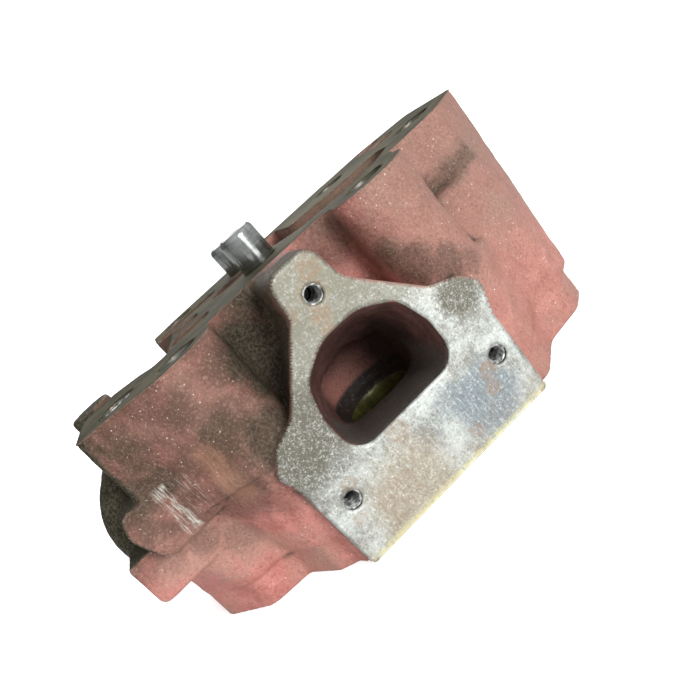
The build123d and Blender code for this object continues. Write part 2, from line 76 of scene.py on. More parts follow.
DECK_Z = place("top_deck").z
LOWER_BOLTS = place("exhaust_lower_bolts")
FLANGE = LOWER_BOLTS + Vector((0, 0, 23.8 * MM))       # middle of the three flange bolts
INTAKE = place("intake_bolts")
BOLT_R = radius("exhaust_top_thread")
VALVE_Y = place("intake_stem_bore").y
VOXEL = 0.8 * MM
UPRIGHT = 0.9                      # a hole whose axis has a larger z part than this stands upright
BOLT_PITCH = 1.25 * MM
BOLT_THREAD_DEPTH = 18 * MM
LIFTING_PITCH = 2.0 * MM
LIFTING_THREAD_DEPTH = 20 * MM
BOLT_HOLE_DEPTH = 24 * MM

# Finishes of the casting, by their slot. A face on the border of two finishes takes the lower slot.
PAINT, MILLED_FACE, OILY_DECK, PORT_WALL, BORED, THROAT = range(6)


# ---------------------------------------------------------------- node graphs
class Graph:
    """Short words for building one procedural material."""

    def __init__(self, name):
        self.material = bpy.data.materials.new(name)
        self.material.use_nodes = True
        self.tree = self.material.node_tree
        self.tree.nodes.clear()
        output = self.add("ShaderNodeOutputMaterial")
        self.surface = self.add("ShaderNodeBsdfPrincipled")
        self.tree.links.new(self.surface.outputs[0], output.inputs["Surface"])
        self.where = self.add("ShaderNodeTexCoord").outputs["Object"]
        axes = self.add("ShaderNodeSeparateXYZ")
        self.feed(axes.inputs[0], self.where)
        self.x, self.y, self.z = axes.outputs

    def add(self, kind, **settings):
        node = self.tree.nodes.new(kind)
        for key, value in settings.items():
            setattr(node, key, value)
        return node

    def feed(self, socket, value):
        if isinstance(value, bpy.types.NodeSocket):
            self.tree.links.new(value, socket)
        elif value is not None:
            socket.default_value = value

    def math(self, operation, a, b=None, c=None):
        node = self.add("ShaderNodeMath", operation=operation)
        for socket, value in zip(node.inputs, (a, b, c)):
            self.feed(socket, value)
        return node.outputs[0]

    def stretched(self, stretch, turn=(0, 0, 0)):
        node = self.add("ShaderNodeMapping")
        self.feed(node.inputs["Vector"], self.where)
        node.inputs["Rotation"].default_value = turn
        node.inputs["Scale"].default_value = stretch
        return node.outputs[0]

    def noise(self, size, detail=3.0, rough=0.55, stretch=None, turn=(0, 0, 0), seed=0.0):
        """Cloudy noise whose blobs are about `size` millimetres across."""
        node = self.add("ShaderNodeTexNoise", noise_dimensions="4D")
        self.feed(node.inputs["Vector"], self.stretched(stretch, turn) if stretch else self.where)
        node.inputs["W"].default_value = seed
        node.inputs["Scale"].default_value = 1 / (size * MM)
        node.inputs["Detail"].default_value = detail
        node.inputs["Roughness"].default_value = rough
        return node.outputs["Fac"]

    def cells(self, size, seed=0.0):
        """Sockets of a cell pattern whose cells are about `size` millimetres across."""
        node = self.add("ShaderNodeTexVoronoi", voronoi_dimensions="4D")
        self.feed(node.inputs["Vector"], self.where)
        node.inputs["W"].default_value = seed
        node.inputs["Scale"].default_value = 1 / (size * MM)
        return node.outputs

    def step(self, value, low, high):
        """0 below low, 1 above high (or the other way round when low > high), smooth between."""
        node = self.add("ShaderNodeMapRange", interpolation_type="SMOOTHSTEP", clamp=True)
        self.feed(node.inputs["Value"], value)
        flip = low > high
        node.inputs["From Min"].default_value = high if flip else low
        node.inputs["From Max"].default_value = low if flip else high
        node.inputs["To Min"].default_value = 1.0 if flip else 0.0
        node.inputs["To Max"].default_value = 0.0 if flip else 1.0
        return node.outputs["Result"]

    def mix(self, amount, a, b):
        """Colour a where amount is 0, colour b where it is 1."""
        node = self.add("ShaderNodeMix", data_type="RGBA")
        self.feed(node.inputs[0], amount)
        self.feed(node.inputs[6], colour(a))
        self.feed(node.inputs[7], colour(b))
        return node.outputs[2]

    def blob(self, centre, size, ragged=0.35, seed=0.0, soft=0.4):
        """Soft-edged patch round a point, torn by noise; 1 inside, 0 outside."""
        node = self.add("ShaderNodeVectorMath", operation="DISTANCE")
        self.feed(node.inputs[0], self.where)
        node.inputs[1].default_value = centre
        tear = self.noise(size * 0.45, 6, 0.7, seed=seed)
        torn = self.math("MULTIPLY_ADD", tear, -2 * ragged * size * MM, node.outputs["Value"])
        edge = size * MM * (1 - ragged)
        return self.step(torn, edge * 1.25, edge * (1 - soft))

    def patch(self, wide, tall, soft, seed):
        """Rectangle on the front of the casting, in millimetres along x and z, with torn edges."""
        tear = self.math("MULTIPLY_ADD", self.noise(soft * 3, 4, seed=seed), 4 * soft * MM, -2 * soft * MM)
        x = self.math("ADD", self.x, tear)
        z = self.math("ADD", self.z, tear)
        inside = self.math("LESS_THAN", self.y, -45 * MM)
        for value, (low, high) in ((x, wide), (z, tall)):
            rise = self.step(value, (low - soft) * MM, (low + soft) * MM)
            fall = self.step(value, (high + soft) * MM, (high - soft) * MM)
            inside = self.math("MULTIPLY", inside, self.math("MULTIPLY", rise, fall))
        return inside

    def facing(self, direction, low, high):
        """1 where the surface looks along the direction."""
        node = self.add("ShaderNodeVectorMath", operation="DOT_PRODUCT")
        self.feed(node.inputs[0], self.add("ShaderNodeNewGeometry").outputs["Normal"])
        node.inputs[1].default_value = direction
        return self.step(node.outputs["Value"], low, high)

    def attribute(self, name):
        return self.add("ShaderNodeAttribute", attribute_name=name).outputs["Fac"]

    def bump(self, layers):
        """Stack of (height, strength, distance in mm) turned into one normal."""
        normal = None
        for height, strength, depth in layers:
            node = self.add("ShaderNodeBump")
            node.inputs["Strength"].default_value = strength
            node.inputs["Distance"].default_value = depth * MM
            self.feed(node.inputs["Height"], height)
            self.feed(node.inputs["Normal"], normal)
            normal = node.outputs[0]
        self.feed(self.surface.inputs["Normal"], normal)

    def finish(self, base, rough, metal=0.0, specular=None):
        self.feed(self.surface.inputs["Base Color"], colour(base))
        self.feed(self.surface.inputs["Roughness"], rough)
        self.feed(self.surface.inputs["Metallic"], metal)
        self.feed(self.surface.inputs["Specular IOR Level"], specular)
        return self.material


def colour(value):
    """Three numbers become an opaque colour; sockets pass through."""
    if isinstance(value, tuple) and len(value) == 3:
        return (*value, 1.0)
    return value


# ---------------------------------------------------------------- materials
def red_oxide_paint():
    """Primer over sand-cast iron: salmon where clean, browner towards the deck from oil and painted shade,
    dark olive grime and painted shade in the hollows, on the left end and round the port neck, white flecks
    as painted glints.
    """
    g = Graph("red_oxide_paint")
    hollow = g.attribute("hollow")
    ridge = g.attribute("ridge")
    broad = g.noise(40, 3, 0.6, seed=1.0)
    patch = g.noise(9, 5, 0.7, seed=2.0)
    grain = g.noise(1.1, 4, 0.8, seed=3.0)
    paint = g.mix(g.step(patch, 0.34, 0.66), (0.45, 0.150, 0.122), (0.62, 0.250, 0.212))
    paint = g.mix(g.step(broad, 0.45, 0.65), paint, (0.46, 0.240, 0.190))
    right = g.step(g.x, 0.015, 0.055)
    paint = g.mix(g.math("MULTIPLY", right, g.math("MULTIPLY_ADD", g.step(g.z, 0.02, 0.10), 0.34, 0.34)),
                  paint, (0.24, 0.150, 0.108))
    left = g.step(g.x, 0.015, -0.03)
    # Darker brown on the upper left towards the deck: partly oil film, partly painted shade.
    height = g.step(g.math("MULTIPLY_ADD", patch, 0.04, g.z), 0.056, 0.084)
    oil = g.math("MULTIPLY", height, g.math("MULTIPLY_ADD", left, 0.62, 0.16))
    smear = g.step(g.noise(14, 4, 0.6, seed=12.0), 0.36, 0.6)
    oil = g.math("MULTIPLY", oil, g.math("MULTIPLY_ADD", smear, 0.35, 0.80))
    paint = g.mix(oil, paint, (0.098, 0.060, 0.042))
    paint = g.mix(g.math("MULTIPLY", g.step(grain, 0.52, 0.66), 0.30), paint, (0.62, 0.42, 0.36))
    paint = g.mix(g.math("MULTIPLY", g.step(grain, 0.48, 0.36), 0.50), paint, (0.095, 0.055, 0.045))
    # Small white flecks: painted glints on the grainy paint.
    fleck = g.step(g.cells(1.5, seed=4.0)["Distance"], 0.25, 0.14)
    fleck = g.math("MULTIPLY", fleck, g.step(g.noise(2.5, 3, 0.6, seed=8.0), 0.48, 0.58))
    paint = g.mix(g.math("MULTIPLY", fleck, 0.8), paint, (0.88, 0.83, 0.80))
    # Dark olive used both for grime and for painted shade.
    shade_and_grime_olive = g.mix(g.step(grain, 0.40, 0.62), (0.022, 0.019, 0.012), (0.085, 0.075, 0.050))
    # Left end turned away from the light, the place behind the lug and the upward ledges on the left:
    # painted shade with grime.
    grime_and_shade = g.math("MULTIPLY", g.facing((-1, 0, 0.3), 0.15, 0.6), g.step(g.x, -0.085, -0.105))
    grime_and_shade = g.math("MULTIPLY", grime_and_shade, g.step(g.z, 0.052, 0.062))
    behind = g.math("MULTIPLY", g.step(g.x, -0.098, -0.104), g.step(g.y, -0.062, -0.054))
    behind = g.math("MULTIPLY", behind, g.step(g.z, 0.056, 0.060))
    ledges = g.math("MULTIPLY", g.facing((0, 0, 1), 0.5, 0.9), g.step(g.x, -0.080, -0.088))
    grime_and_shade = g.math("MAXIMUM", grime_and_shade, g.math("MAXIMUM", behind, ledges))
    # Dark patches round the port neck and along the flange edges: painted shade with grime.
    spots = (
        ((-28, -74, 88), 27, 0.95), ((-14, -72, 108), 20, 0.9), ((-50, -88, 66), 15, 0.8),
        ((22, -62, 102), 17, 0.6), ((-74, -84, 52), 15, 0.5), ((-104, -68, 80), 12, 0.7),
        ((-92, -74, 92), 11, 0.45), ((-62, -90, 78), 12, 0.45), ((-88, -66, 36), 11, 0.35),
        ((-92, -74, 79), 9, 0.7), ((-66, -88, 42), 10, 0.35), ((16, -84, 99), 9, 0.7),
        ((-98, -66, 46), 9, 0.4), ((-4, -82, 112), 24, 0.95), ((18, -86, 92), 12, 0.75),
        ((27, -84, 83), 13, 0.75), ((37, -86, 74), 12, 0.65), ((48, -90, 66), 10, 0.6),
        ((-84, -74, 49), 13, 0.5), ((56, -84, 60), 8, 0.4), ((30, -70, 92), 16, 0.4),
    )
    for spot, size, amount in spots:
        centre = tuple(value * MM for value in spot)
        grime_and_shade = g.math("MAXIMUM", grime_and_shade, g.math("MULTIPLY", g.blob(centre, size, 0.4, size, 0.8), amount))
    # The shallow slot on the right is darkened as painted shade with grime.
    grime_and_shade = g.math("MAXIMUM", grime_and_shade, g.math("MULTIPLY", g.patch((64, 102), (82, 92), 3.2, 5.0), 0.6))
    rim = g.math("MULTIPLY", g.step(g.y, -0.0885, -0.0900), g.facing((0, -1, 0), 0.8, 0.4))
    grime_and_shade = g.math("MAXIMUM", grime_and_shade, g.math("MULTIPLY", rim, g.math("MULTIPLY_ADD", left, 0.2, 0.25)))
    pocket = g.math("MULTIPLY", g.step(g.z, 0.0900, 0.0935), g.step(g.y, -0.050, -0.045))
    pocket = g.math("MULTIPLY", pocket, g.step(g.x, 0.095, 0.090))
    pocket = g.math("MULTIPLY", pocket, g.step(g.y, 0.054, 0.050))
    paint = g.mix(g.math("MULTIPLY", pocket, 0.8), paint, (0.135, 0.088, 0.058))
    # Grime and painted shade laid over the paint.
    paint = g.mix(grime_and_shade, paint, shade_and_grime_olive)
    # Concave places, from the hollow attribute, darkened: painted shade with some grime.
    soot = g.step(g.math("ADD", g.math("MULTIPLY", hollow, 1.7), g.math("MULTIPLY", patch, 0.4)), 0.46, 1.0)
    paint = g.mix(soot, paint, shade_and_grime_olive)
    lines = g.noise(0.8, 5, 0.8, stretch=(1, 1, 0.06), seed=7.0)
    breaks = g.noise(2.2, 4, 0.7, stretch=(1, 1, 0.35), seed=11.0)
    strip = g.math("MULTIPLY", g.patch((-77, -68), (50, 82), 2.4, 6.0), g.step(lines, 0.30, 0.60))
    paint = g.mix(g.math("MULTIPLY", strip, 0.65), paint, (0.36, 0.195, 0.125))
    worn = g.step(g.math("ADD", ridge, g.math("MULTIPLY", grain, 0.5)), 0.62, 0.95)
    paint = g.mix(g.math("MULTIPLY", worn, 0.45), paint, (0.36, 0.27, 0.22))
    scrape = g.math("MULTIPLY", g.patch((-99, -93), (55, 78), 1.2, 9.0), g.step(lines, 0.45, 0.58))
    faint = g.math("MULTIPLY", g.patch((-93, -83), (58, 77), 1.5, 10.0), g.step(lines, 0.53, 0.64))
    scrape = g.math("MAXIMUM", scrape, g.math("MULTIPLY", faint, 0.7))
    scrape = g.math("MULTIPLY", scrape, g.step(breaks, 0.36, 0.52))
    paint = g.mix(scrape, paint, (0.58, 0.55, 0.49))
    g.bump([
        (g.noise(4.5, 3, 0.6, seed=5.0), 0.4, 1.0),
        (grain, 0.9, 0.75),
    ])
    rough = g.math("MULTIPLY_ADD", patch, 0.25, 0.42)
    matt = g.math("MAXIMUM", grime_and_shade, oil)
    return g.finish(paint, rough, g.math("MULTIPLY", scrape, 0.5), g.math("MULTIPLY_ADD", matt, -0.42, 0.5))


def milled_iron():
    """Port flange face: upright cutter marks, rust blooms, an oily blue-grey stain, pits."""
    g = Graph("milled_iron")
    lines = g.noise(0.7, 4, 0.75, stretch=(1, 1, 0.20), turn=(0, 0.06, 0), seed=1.0)
    slant = g.noise(0.8, 4, 0.75, stretch=(1, 1, 0.16), turn=(0, -0.6, 0), seed=2.0)
    cloud = g.noise(13, 5, 0.7, seed=3.0)
    speck = g.noise(1.5, 5, 0.8, seed=4.0)
    fleck = g.noise(0.9, 4, 0.8, seed=6.0)
    iron = g.mix(g.step(cloud, 0.38, 0.60), (0.27, 0.275, 0.245), (0.55, 0.585, 0.56))
    stains = ((26, -35, 17, 0.95), (14, -24, 9, 0.6), (33, -26, 8, 0.6), (-2, -28, 8, 0.3))
    for dx, dz, size, amount in stains:
        centre = (FLANGE.x + dx * MM, FLANGE.y, FLANGE.z + dz * MM)
        stain = g.math("MULTIPLY", g.blob(centre, size, 0.45, dx + 1.0, 0.7), amount)
        iron = g.mix(stain, iron, (0.205, 0.245, 0.270))
    beige = g.blob((FLANGE.x - 22 * MM, FLANGE.y, FLANGE.z - 40 * MM), 24, 0.45, 8.0, 0.9)
    iron = g.mix(g.math("MULTIPLY", beige, 0.75), iron, (0.36, 0.31, 0.23))
    iron = g.mix(g.math("MULTIPLY", g.step(lines, 0.50, 0.64), 0.35), iron, (0.60, 0.63, 0.60))
    iron = g.mix(g.math("MULTIPLY", g.step(slant, 0.55, 0.66), 0.5), iron, (0.76, 0.79, 0.76))
    iron = g.mix(g.math("MULTIPLY", g.step(fleck, 0.55, 0.64), 0.6), iron, (0.84, 0.86, 0.83))
    iron = g.mix(g.math("MULTIPLY", g.step(fleck, 0.47, 0.38), 0.6), iron, (0.135, 0.130, 0.105))
    # Patchy darkening towards the top of the face: painted shade.
    high = g.math("MULTIPLY", g.step(g.z, 0.052, 0.080), g.step(fleck, 0.66, 0.44))
    iron = g.mix(g.math("MULTIPLY", high, 0.80), iron, (0.185, 0.178, 0.128))
    rust = g.math("MULTIPLY", g.step(cloud, 0.56, 0.70), 0.3)
    foot = g.step(g.math("MULTIPLY_ADD", cloud, 0.03, g.z), 0.036, 0.012)
    rust = g.math("MAXIMUM", rust, g.math("MULTIPLY", foot, 0.4))
    blooms = (
        (6, 54, 6, 0.8), (1, 46, 7, 0.6), (-2, 37, 5, 0.9), (-4, 31, 4, 0.8), (-10, -17, 6, 0.7),
        (-26, -4, 6, 0.6), (34, -26, 5, 0.9), (14, -41, 4, 0.8), (-38, -18, 4, 0.7), (31, -33, 4, 0.8),
        (-12, 46, 5, 0.5), (-44, -32, 4, 0.5), (-26, -38, 13, 0.45), (-6, -30, 10, 0.35),
    )
    for dx, dz, size, amount in blooms:
        centre = (FLANGE.x + dx * MM, FLANGE.y, FLANGE.z + dz * MM)
        rust = g.math("MAXIMUM", rust, g.math("MULTIPLY", g.blob(centre, size, 0.5, dx, 0.9), amount))
    rust = g.math("MULTIPLY", rust, g.step(speck, 0.36, 0.64))
    # Darker towards the top of the face: painted shade.
    iron = g.mix(g.math("MULTIPLY", g.step(g.z, 0.056, 0.086), 0.60), iron, (0.165, 0.155, 0.115))
    iron = g.mix(rust, iron, (0.27, 0.165, 0.090))
    shade = g.blob((FLANGE.x - 42 * MM, FLANGE.y, FLANGE.z + 8 * MM), 26, 0.4, 3.0, 0.9)
    right_ear = (FLANGE.x + 44 * MM, FLANGE.y, FLANGE.z + 6 * MM)
    shade = g.math("MAXIMUM", shade, g.blob(right_ear, 11, 0.5, 4.0, 0.9))
    iron = g.mix(g.math("MULTIPLY", shade, 0.45), iron, (0.120, 0.112, 0.085))
    iron = g.mix(g.math("MULTIPLY", shade, g.step(fleck, 0.62, 0.47)), iron, (0.120, 0.112, 0.085))
    iron = g.mix(g.math("MULTIPLY", g.step(speck, 0.40, 0.30), 0.8), iron, (0.075, 0.065, 0.05))
    rim = g.math("MULTIPLY", g.step(g.z, 0.0035, 0.0015), g.step(speck, 0.35, 0.6))
    iron = g.mix(g.math("MULTIPLY", rim, 0.7), iron, (0.62, 0.58, 0.30))
    g.bump([(lines, 0.4, 0.14), (fleck, 0.6, 0.2), (speck, 0.7, 0.28)])
    metal = g.math("MULTIPLY_ADD", rust, -0.5, 0.5)
    rough = g.math("MULTIPLY_ADD", rust, 0.2, 0.48)
    return g.finish(iron, rough, metal)


def oily_deck():
    """Milled rocker deck under a film of old oil: olive, smeared, darker towards its edges."""
    g = Graph("oily_deck")
    swirl = g.noise(16, 5, 0.65, seed=1.0)
    lines = g.noise(0.6, 4, 0.7, stretch=(0.05, 1, 1), seed=2.0)
    speck = g.noise(1.3, 4, 0.75, seed=3.0)
    deck = g.mix(g.step(swirl, 0.40, 0.62), (0.036, 0.031, 0.016), (0.088, 0.077, 0.043))
    deck = g.mix(g.math("MULTIPLY", g.step(lines, 0.52, 0.70), 0.35), deck, (0.155, 0.157, 0.105))
    deck = g.mix(g.math("MULTIPLY", g.step(speck, 0.42, 0.30), 0.7), deck, (0.020, 0.018, 0.012))
    film = g.blob((40 * MM, 0, DECK_Z), 55, 0.4, 4.0, 0.9)
    deck = g.mix(g.math("MULTIPLY", film, 0.35), deck, (0.19, 0.18, 0.12))
    g.bump([(lines, 0.2, 0.1), (speck, 0.3, 0.18)])
    rough = g.math("MULTIPLY_ADD", swirl, 0.2, 0.62)
    return g.finish(deck, rough, 0.0, 0.12)


def port_skin():
    """Inside of the ports: red-brown paint gone sooty, bare grey-brown iron along the lower lip, painted
    light low on the back wall, painted shadow above the throat and on the right side.
    """
    g = Graph("port_skin")
    soot = g.noise(8, 5, 0.65, seed=1.0)
    grain = g.noise(1.2, 4, 0.75, seed=2.0)
    skin = g.mix(g.step(soot, 0.36, 0.66), (0.092, 0.041, 0.034), (0.185, 0.086, 0.072))
    # Lighter band low on the back wall of the bowl: painted light.
    left = g.step(g.x, 0.018, -0.002)
    wall = g.math("MULTIPLY", left, g.step(g.z, 0.032, 0.035))
    wall = g.math("MULTIPLY", wall, g.step(g.y, -0.024, -0.010))
    skin = g.mix(g.math("MULTIPLY", wall, g.step(g.z, 0.052, 0.038)), skin, (0.30, 0.125, 0.098))
    # Near-black band under the bowl roof just above the throat: painted shadow.
    under = g.math("MULTIPLY", g.step(g.z, 0.0345, 0.0320), g.step(g.y, -0.050, -0.040))
    skin = g.mix(g.math("MULTIPLY", under, 0.95), skin, (0.010, 0.008, 0.006))
    # Near-black right side of the port: painted shadow.
    right = g.math("MULTIPLY", g.step(g.x, 0.008, 0.017), g.step(g.y, -0.075, -0.050))
    skin = g.mix(g.math("MULTIPLY", right, 0.8), skin, (0.022, 0.014, 0.012))
    lip = g.step(g.math("MULTIPLY_ADD", soot, 0.01, g.z), 0.052, 0.042)
    lip = g.math("MULTIPLY", lip, g.step(g.y, -0.040, -0.052))
    skin = g.mix(lip, skin, (0.105, 0.092, 0.078))
    skin = g.mix(g.math("MULTIPLY", g.step(grain, 0.54, 0.66), 0.4), skin, (0.22, 0.18, 0.155))
    skin = g.mix(g.math("MULTIPLY", g.step(grain, 0.46, 0.36), 0.7), skin, (0.025, 0.018, 0.015))
    g.bump([(soot, 0.4, 0.8), (grain, 0.7, 0.45)])
    return g.finish(skin, 0.6, 0.0, 0.4)


def throat_iron():
    """Turned throat above a seat: dark olive, painted shade with a painted green reflection."""
    g = Graph("throat_iron")
    rings = g.noise(0.5, 3, 0.6, stretch=(0.05, 0.05, 1), seed=1.0)
    film = g.noise(6, 3, 0.6, seed=2.0)
    # Dark olive: painted shade and a painted green reflection.
    iron = g.mix(g.step(film, 0.35, 0.65), (0.045, 0.045, 0.010), (0.110, 0.107, 0.026))
    iron = g.mix(g.math("MULTIPLY", g.step(rings, 0.5, 0.7), 0.3), iron, (0.26, 0.25, 0.07))
    g.bump([(rings, 0.25, 0.1)])
    return g.finish(iron, 0.42, 0.3)


def bored_iron():
    """Drilled and reamed walls: grey iron with fine rings and a little rust."""
    g = Graph("bored_iron")
    rings = g.noise(0.4, 3, 0.6, stretch=(0.05, 0.05, 1), seed=1.0)
    bloom = g.noise(5, 3, 0.6, seed=2.0)
    iron = g.mix(g.step(rings, 0.35, 0.65), (0.065, 0.065, 0.056), (0.150, 0.150, 0.135))
    iron = g.mix(g.math("MULTIPLY", g.step(bloom, 0.52, 0.7), 0.6), iron, (0.20, 0.10, 0.06))
    g.bump([(rings, 0.3, 0.1)])
    return g.finish(iron, 0.42, 0.6)


def polished_steel():
    """Ground valve guides: bright, with fine turned rings, dark vertical streaks that are partly oil runs
    and partly painted dark reflections, and a dark mouth.
    """
    g = Graph("polished_steel")
    rings = g.noise(0.5, 3, 0.6, stretch=(0.05, 0.05, 1), seed=1.0)
    runs = g.noise(2.2, 4, 0.65, stretch=(1, 1, 0.12), seed=2.0)
    stain = g.noise(5, 4, 0.65, seed=3.0)
    steel = g.mix(g.step(rings, 0.35, 0.65), (0.28, 0.295, 0.285), (0.42, 0.44, 0.43))
    # Dark vertical streaks: partly oil runs, partly painted dark reflections.
    steel = g.mix(g.math("MULTIPLY", g.step(runs, 0.50, 0.68), 0.45), steel, (0.085, 0.095, 0.078))
    steel = g.mix(g.math("MULTIPLY", g.step(stain, 0.58, 0.72), 0.4), steel, (0.07, 0.08, 0.05))
    g.bump([(rings, 0.12, 0.04)])
    rough = g.math("MULTIPLY_ADD", stain, 0.16, 0.10)
    return g.finish(steel, rough, 1.0)


def seat_metal():
    """Seat inserts: turned alloy steel, painted bright yellow as the light reflected up from under the head.
    """
    g = Graph("seat_metal")
    rings = g.noise(0.5, 3, 0.6, stretch=(0.05, 0.05, 1), seed=1.0)
    film = g.noise(7, 3, 0.6, seed=2.0)
    # Bright yellow: painted reflection of the light under the head.
    metal = g.mix(g.step(film, 0.35, 0.65), (0.90, 0.86, 0.12), (0.96, 0.93, 0.26))
    metal = g.mix(g.math("MULTIPLY", g.step(rings, 0.5, 0.7), 0.5), metal, (0.94, 0.92, 0.55))
    g.bump([(rings, 0.2, 0.08)])
    return g.finish(metal, 0.40, 0.0)


def soft_copper():
    """Injector sleeve and washer: dull copper with brown tarnish."""
    g = Graph("soft_copper")
    film = g.noise(5, 4, 0.6, seed=1.0)
    rings = g.noise(0.5, 3, 0.6, stretch=(0.05, 0.05, 1), seed=2.0)
    copper = g.mix(g.step(film, 0.35, 0.65), (0.42, 0.17, 0.09), (0.66, 0.33, 0.20))
    g.bump([(rings, 0.2, 0.08)])
    return g.finish(copper, g.math("MULTIPLY_ADD", film, 0.3, 0.25), 0.9)


def plug_metal():
    """Pressed and threaded plugs: dull steel, rusty in spots, with paint on the rim."""
    g = Graph("plug_metal")
    bloom = g.noise(4, 4, 0.65, seed=1.0)
    grain = g.noise(0.8, 3, 0.7, seed=2.0)
    metal = g.mix(g.step(grain, 0.35, 0.65), (0.26, 0.25, 0.22), (0.46, 0.44, 0.40))
    metal = g.mix(g.math("MULTIPLY", g.step(bloom, 0.50, 0.66), 0.8), metal, (0.25, 0.11, 0.06))
    g.bump([(grain, 0.3, 0.12)])
    return g.finish(metal, g.math("MULTIPLY_ADD", bloom, 0.3, 0.35), 0.7)


def black_rubber():
    g = Graph("black_rubber")
    dust = g.noise(1.5, 3, 0.6, seed=1.0)
    g.bump([(dust, 0.2, 0.1)])
    return g.finish(g.mix(g.step(dust, 0.4, 0.7), (0.012, 0.012, 0.012), (0.035, 0.034, 0.032)), 0.7)


# ---------------------------------------------------------------- the casting's skin
def voxel_copy(node, size):
    """Closed, evenly meshed copy of a CAD node, as a new mesh."""
    mesh = frame["nodes"][node].data.copy()
    welded = bmesh.new()
    welded.from_mesh(mesh)
    bmesh.ops.remove_doubles(welded, verts=welded.verts, dist=0.001 * MM)
    welded.to_mesh(mesh)
    welded.free()
    rough = bpy.data.objects.new("rough_copy", mesh)
    bpy.context.scene.collection.objects.link(rough)
    remesh = rough.modifiers.new("even", "REMESH")
    remesh.mode = "VOXEL"
    remesh.voxel_size = size
    remesh.adaptivity = 0
    ready = rough.evaluated_get(bpy.context.evaluated_depsgraph_get())
    result = bpy.data.meshes.new_from_object(ready)
    bpy.data.objects.remove(rough)
    return result


class Skin:
    """Vertex arrays of one mesh, with the smoothing and masks that shape it."""

    def __init__(self, mesh):
        self.mesh = mesh
        self.count = len(mesh.vertices)
        self.points = self.read(mesh.vertices, "co", 3)
        edges = np.zeros(len(mesh.edges) * 2, np.int32)
        mesh.edges.foreach_get("vertices", edges)
        self.edges = edges.reshape(-1, 2)
        self.degree = np.bincount(self.edges.ravel(), minlength=self.count)

    def read(self, items, name, width):
        values = np.zeros(len(items) * width, np.float32)
        items.foreach_get(name, values)
        return values.reshape(-1, width).astype(float)

    def normals(self):
        self.mesh.vertices.foreach_set("co", self.points.astype(np.float32).ravel())
        self.mesh.update()
        return self.read(self.mesh.vertices, "normal", 3)

    def averaged(self, values):
        """Mean of the neighbours' values at every vertex."""
        total = np.zeros_like(values)
        first, second = self.edges.T
        for axis in range(values.shape[1]):
            column = values[:, axis]
            total[:, axis] = np.bincount(first, column[second], self.count)
            total[:, axis] += np.bincount(second, column[first], self.count)
        return total / self.degree[:, None]

    def relax(self, steps, freedom):
        for _ in range(steps):
            moved = self.averaged(self.points)
            self.points += (moved - self.points) * freedom[:, None] * 0.6

    def store(self, name, values):
        layer = self.mesh.attributes.new(name, "FLOAT", "POINT")
        layer.data.foreach_set("value", values.astype(np.float32))


def lattice_noise(points, size, seed):
    """Smooth random values from -1 to 1 that vary over about `size` metres."""
    cell = points / size
    corner = np.floor(cell).astype(np.int64)
    part = cell - corner
    part = part * part * (3 - 2 * part)
    total = np.zeros(len(points))
    for dx in (0, 1):
        for dy in (0, 1):
            for dz in (0, 1):
                key = (corner[:, 0] + dx) * 73856093 ^ (corner[:, 1] + dy) * 19349663
                key = key ^ (corner[:, 2] + dz) * 83492791 ^ seed * 2654435761
                key = (key ^ key >> 13) * 1274126177 & 0x7FFFFFFF
                value = (key ^ key >> 16 & 0xFFFF) / 0x3FFFFFFF - 1.0
                weight = np.abs(1 - dx - part[:, 0]) * np.abs(1 - dy - part[:, 1])
                total += value * weight * np.abs(1 - dz - part[:, 2])
    return total


def tapped_holes():
    """Mouth centre and outward side (-1 front, +1 rear) of every tapped flange hole."""
    top = place("exhaust_top_thread")
    holes = [(Vector((top.x, LOWER_BOLTS.y, top.z)), -1)]
    for name, out in (("exhaust_lower_bolts", -1), ("intake_bolts", 1)):
        reach = mounts[name]["dims"]["spacing_x_mm"] * MM / 2
        for side in (-1, 1):
            holes.append((place(name) + Vector((side * reach, 0, 0)), out))
    return holes


MILLED = {                     # axis, level and outward side of every milled face
    "deck": (2, DECK_Z, 1),
    "flange": (1, FLANGE.y, -1),
    "intake": (1, INTAKE.y, 1),
    "fire": (2, 0.0, -1),
}


def machined_planes(points, normals):
    """Marks the milled faces and puts their vertices exactly on the plane."""
    marks = {}
    for name, (axis, level, side) in MILLED.items():
        near = np.abs(points[:, axis] - level) < 0.45 * VOXEL
        marks[name] = near & (normals[:, axis] * side > 0.8)
        points[marks[name], axis] = level
    return marks


def drilled_walls(points, normals):
    """Marks the walls of the upright bores and of the tapped flange holes."""
    walls = np.zeros(len(points), bool)
    for name, mount in mounts.items():
        if mount["kind"] in ("bore", "threaded_hole") and abs(mount["axis"][2]) > UPRIGHT:
            centre = place(name)
            reach = np.hypot(points[:, 0] - centre.x, points[:, 1] - centre.y)
            half = mount["dims"]["length_mm"] * MM / 2
            along = np.abs(points[:, 2] - centre.z) < half
            near = np.abs(reach - radius(name)) < 0.7 * VOXEL
            walls |= near & along & (np.abs(normals[:, 2]) < 0.4)
    for centre, out in tapped_holes():
        reach = np.hypot(points[:, 0] - centre.x, points[:, 2] - centre.z)
        depth = (centre.y - points[:, 1]) * out
        walls |= (reach < BOLT_R + 0.6 * VOXEL) & (depth > 0.5 * VOXEL) & (depth < 30 * MM)
    return walls


